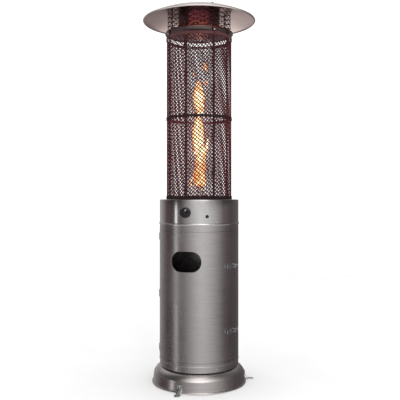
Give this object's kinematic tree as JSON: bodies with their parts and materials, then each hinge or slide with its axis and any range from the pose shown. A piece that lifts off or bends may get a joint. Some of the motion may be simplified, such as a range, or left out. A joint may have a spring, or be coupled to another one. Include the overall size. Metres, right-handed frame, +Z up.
{
  "type": "patio heater",
  "caption": "Gas patio heater: round base, bottle housing with a door, control ring with knob, glass flame tube in a mesh guard, reflector on top.",
  "frame": {"origin": "on the floor, under the heater's axis", "axes": "+Z up along the axis; the front, with the knob, faces -Y; +X is to the right of someone who faces the front"},
  "size_m": [0.547, 0.551, 1.8328],
  "materials": {
    "brushed_steel": "brushed around the axis, stainless",
    "polished_steel": "polished stainless",
    "zinc": "zinc plated",
    "galvanised": "galvanised",
    "black_steel": "heatproof matte black",
    "scorched_steel": "heat-tinted stainless",
    "dish_steel": "satin, warmed by the flame's light",
    "glass": "clear heatproof glass",
    "fibre": "woven heatproof fibre",
    "black_plastic": "satin black",
    "brass": "turned",
    "cast_metal": "die cast"
  },
  "bodies": {
    "heater": {"base_cover": "brushed_steel", "base_collar": "brushed_steel", "housing_shell": "brushed_steel", "control_deck": "brushed_steel", "control_ring": "polished_steel", "ground_bracket_1": "zinc", "ground_bracket_2": "zinc", "ground_bracket_3": "zinc", "hinge_fixed_leaf_1": "zinc", "hinge_fixed_leaf_2": "zinc", "hinge_fixed_leaf_3": "zinc", "latch_keeper_1": "zinc", "latch_keeper_2": "zinc", "reflector_stud_1": "zinc", "reflector_stud_2": "zinc", "reflector_stud_3": "zinc", "reflector_stud_4": "zinc", "bottle_pan": "galvanised", "control_floor": "galvanised", "guard_ring_bottom": "black_steel", "guard_ring_middle": "black_steel", "guard_ring_top": "black_steel", "guard_post_1": "black_steel", "guard_post_2": "black_steel", "guard_post_3": "black_steel", "guard_post_4": "black_steel", "guard_mesh_1": "black_steel", "guard_mesh_2": "black_steel", "guard_mesh_3": "black_steel", "guard_mesh_4": "black_steel", "upper_guard": "black_steel", "emitter": "scorched_steel", "burner_head": "scorched_steel", "top_cap": "dish_steel", "reflector": "dish_steel", "glass_tube": "glass", "glass_gasket_low": "fibre", "glass_gasket_top": "fibre", "tilt_switch": "black_plastic", "gas_inlet": "brass", "feed_pipe": "brass", "gas_valve": "cast_metal", "igniter_body": "cast_metal", "burner_tube": "cast_metal", "thermocouple": "cast_metal", "spark_electrode": "cast_metal"},
    "door": {"door": "brushed_steel", "hinge_door_leaf_1": "zinc", "hinge_door_leaf_2": "zinc", "hinge_door_leaf_3": "zinc", "latch_base_1": "zinc", "latch_base_2": "zinc"},
    "lever_1": {"latch_lever_1": "zinc"},
    "lever_2": {"latch_lever_2": "zinc"},
    "bail_1": {"latch_bail_1": "zinc"},
    "bail_2": {"latch_bail_2": "zinc"},
    "knob_carrier": {"stem_collar": "brass"},
    "knob": {"valve_stem": "brass", "knob": "black_plastic"},
    "igniter_button": {"igniter_button": "black_plastic"}
  },
  "joints": [
    {"name": "door_swing", "type": "hinge", "parent": "heater", "child": "door", "pos_m": [-0.19607, -0.02756, 0.44], "axis": [0, 0, -1], "range_deg": [0, 110]},
    {"name": "lever_swing_1", "type": "hinge", "parent": "door", "child": "lever_1", "pos_m": [0.19587, -0.04235, 0.27], "axis": [0, 0, 1], "range_deg": [0, 110]},
    {"name": "lever_swing_2", "type": "hinge", "parent": "door", "child": "lever_2", "pos_m": [0.19587, -0.04235, 0.5758], "axis": [0, 0, 1], "range_deg": [0, 110]},
    {"name": "bail_swing_1", "type": "hinge", "parent": "lever_1", "child": "bail_1", "pos_m": [0.19104, -0.05051, 0.27], "axis": [0, 0, 1], "range_deg": [-110, 0]},
    {"name": "bail_swing_2", "type": "hinge", "parent": "lever_2", "child": "bail_2", "pos_m": [0.19104, -0.05051, 0.5758], "axis": [0, 0, 1], "range_deg": [-110, 0]},
    {"name": "knob_push", "type": "slide", "parent": "heater", "child": "knob_carrier", "axis": [0, 1, 0], "range_m": [0, 0.004], "stiffness_N_per_m": 800, "springref_m": -0.003},
    {"name": "knob_turn", "type": "hinge", "parent": "knob_carrier", "child": "knob", "pos_m": [0, -0.2, 0.829], "axis": [0, -1, 0], "range_deg": [0, 180]},
    {"name": "igniter_press", "type": "slide", "parent": "heater", "child": "igniter_button", "axis": [-0.5, 0.866, 0], "range_m": [0, 0.005], "stiffness_N_per_m": 1200, "springref_m": -0.003}
  ],
  "couplings": [
    {"joint": "bail_swing_1", "follows": "lever_swing_1", "ratio": -1},
    {"joint": "bail_swing_2", "follows": "lever_swing_2", "ratio": -1}
  ]
}
